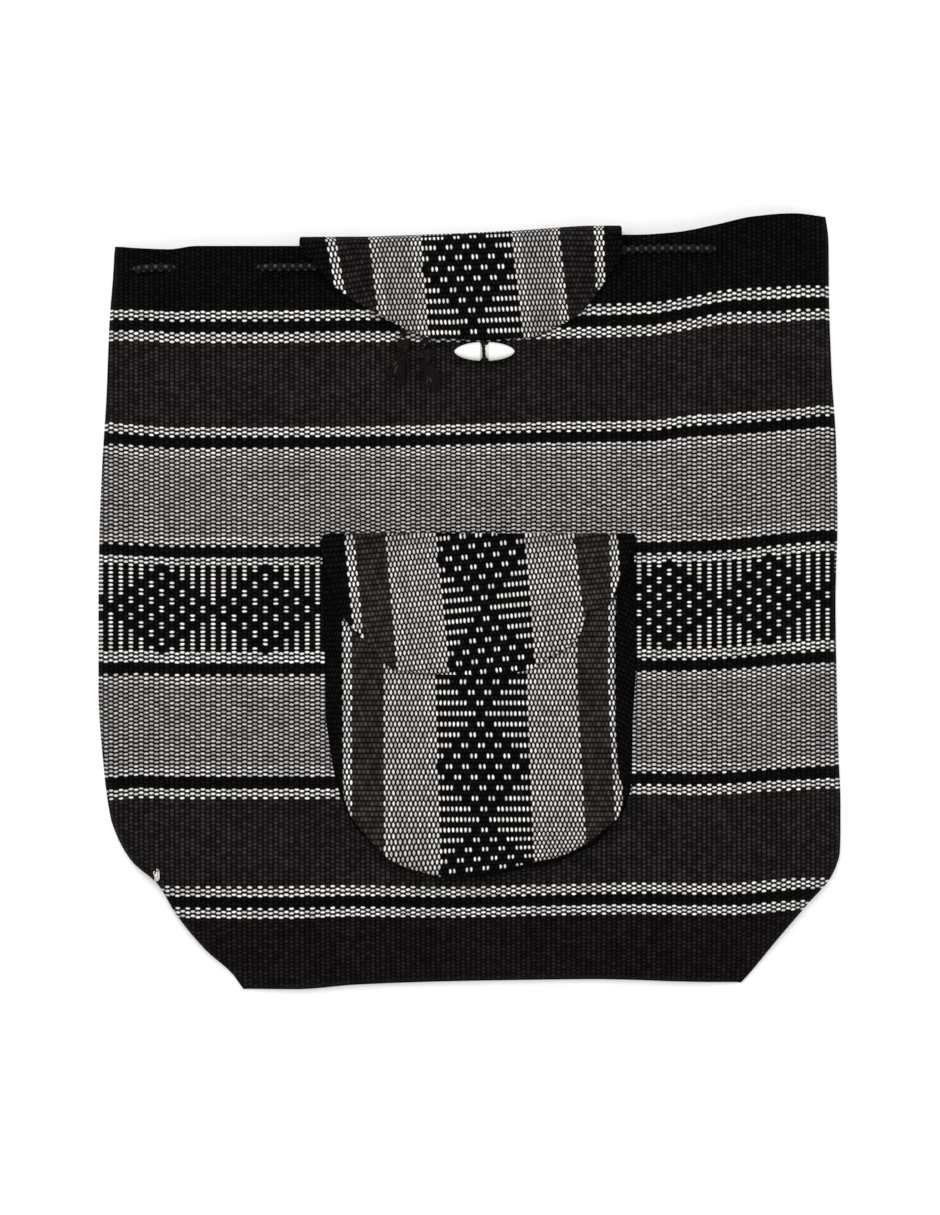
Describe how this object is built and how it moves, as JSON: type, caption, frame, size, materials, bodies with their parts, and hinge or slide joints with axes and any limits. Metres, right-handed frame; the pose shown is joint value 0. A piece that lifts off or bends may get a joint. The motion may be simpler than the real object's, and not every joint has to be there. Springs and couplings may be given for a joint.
{
  "type": "morral bag",
  "caption": "Flat-lying woven morral backpack with banded cloth, folded mouth flap, drawstring, toggle and gusseted patch pocket.",
  "frame": {"origin": "on the surface that the bag lies on, under the middle of its outline", "axes": "+X to the right of the bag's front, +Y towards its mouth, +Z out of its front"},
  "size_m": [0.4074, 0.426, 0.0332],
  "materials": {
    "banded_cloth": "weft-faced plain weave with vertical ribs, banded black, dark grey, light grey and white, matt",
    "black_cloth": "weft-faced plain weave, black, matt",
    "black_cord": "black braided cord and loose yarn, matt",
    "white_toggle": "smooth warm white, satin"
  },
  "bodies": {
    "root": {"bag_front": "banded_cloth", "bag_back": "banded_cloth", "main_flap": "banded_cloth", "pocket_front": "banded_cloth", "pocket_gusset": "black_cloth", "pocket_flap": "banded_cloth", "left_strap": "black_cloth", "right_strap": "black_cloth", "drawstring": "black_cord", "left_tail": "black_cord", "right_tail": "black_cord", "left_tassel": "black_cord", "right_tassel": "black_cord", "toggle_loop": "black_cord", "toggle": "white_toggle"}
  },
  "joints": []
}
